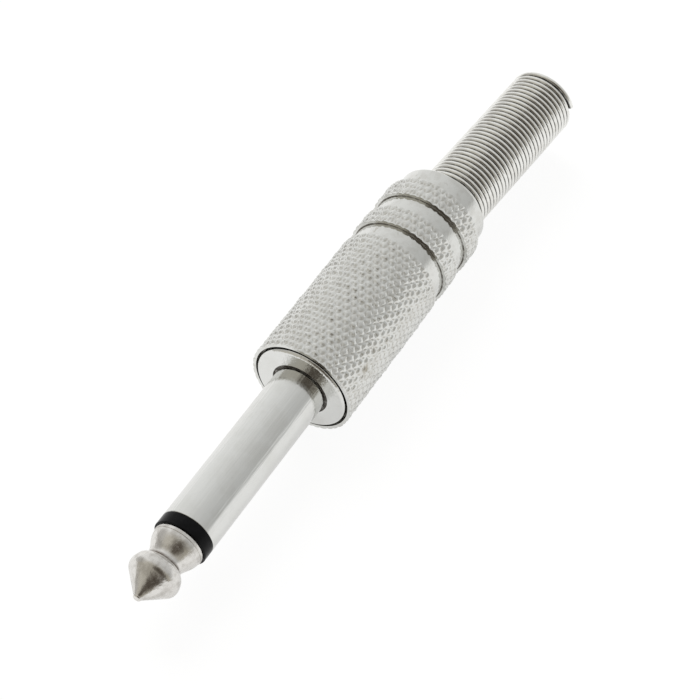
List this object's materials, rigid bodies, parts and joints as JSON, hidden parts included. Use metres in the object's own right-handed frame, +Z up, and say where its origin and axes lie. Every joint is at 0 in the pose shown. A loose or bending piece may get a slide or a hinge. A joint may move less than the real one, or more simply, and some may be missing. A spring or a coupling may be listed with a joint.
{
  "type": "mono jack plug",
  "caption": "Mono phone plug for a cable: polished shank and pointed tip with a black insulating ring, knurled screw-on barrel and a close-wound spring as strain relief.",
  "frame": {"origin": "centre of the flange's front face, where the shank meets it", "axes": "+X along the plug's axis towards the tip, +Z up"},
  "size_m": [0.0853, 0.0126, 0.0126],
  "materials": {
    "polished_nickel": "nickel plate, polished",
    "knurled_nickel": "nickel plate over a rolled knurl",
    "spring_wire": "nickel-plated drawn wire",
    "black_insulator": "glossy black",
    "core_plastic": "matt black",
    "tinned_brass": "tinned sheet",
    "liner_plastic": "translucent tube"
  },
  "bodies": {
    "plug": {"tip_contact": "polished_nickel", "tip_insulator": "black_insulator", "core_tube": "core_plastic", "shank": "polished_nickel", "rear_washer": "core_plastic", "sleeve_tag": "tinned_brass", "tip_tag": "tinned_brass"},
    "spring": {"strain_spring": "spring_wire"},
    "cap": {"barrel": "knurled_nickel", "barrel_liner": "liner_plastic"}
  },
  "joints": [
    {"name": "barrel_back_off", "type": "slide", "parent": "plug", "child": "spring", "axis": [-1, 0, 0], "range_m": [0, 0.005]},
    {"name": "barrel_turn", "type": "hinge", "parent": "spring", "child": "cap", "pos_m": [-0.016, 0, 0], "axis": [-1, 0, 0], "range_deg": [0, 1800]}
  ],
  "couplings": [
    {"joint": "barrel_back_off", "follows": "barrel_turn", "m_per_rad": 0.00015915}
  ]
}
